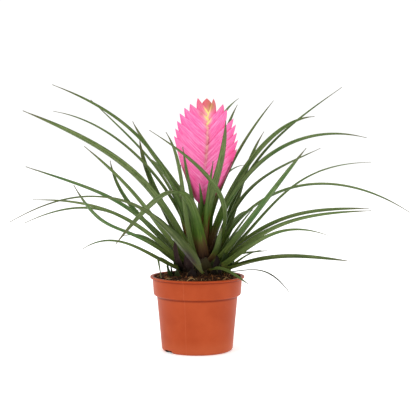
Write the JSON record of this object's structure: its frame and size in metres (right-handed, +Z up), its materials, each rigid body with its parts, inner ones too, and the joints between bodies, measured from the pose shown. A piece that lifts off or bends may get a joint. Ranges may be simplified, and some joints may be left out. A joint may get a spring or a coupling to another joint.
{
  "type": "potted pink quill plant",
  "caption": "Potted bromeliad with narrow arching leaves and a flat pink flower head of overlapping bracts, standing in a round terracotta-coloured nursery pot.",
  "frame": {"origin": "middle of the pot's flat underside, on the surface that it stands on", "axes": "+Z up along the pot's axis; +X to the right and +Y away from a viewer who sees the flat side of the flower head"},
  "size_m": [0.3629, 0.2996, 0.253],
  "materials": {
    "pot_plastic": "satin moulded polypropylene, terracotta orange",
    "peat": "moist dark peat with paler fibres",
    "leaf": "satin green leaf, brown to purple at the sheath",
    "bract": "satin pink bract, yellow-green and coral at the growing tip"
  },
  "bodies": {
    "root": {"pot": "pot_plastic", "potting_soil": "peat", "leaf_rosette": "leaf", "flower_head": "bract"}
  },
  "joints": []
}
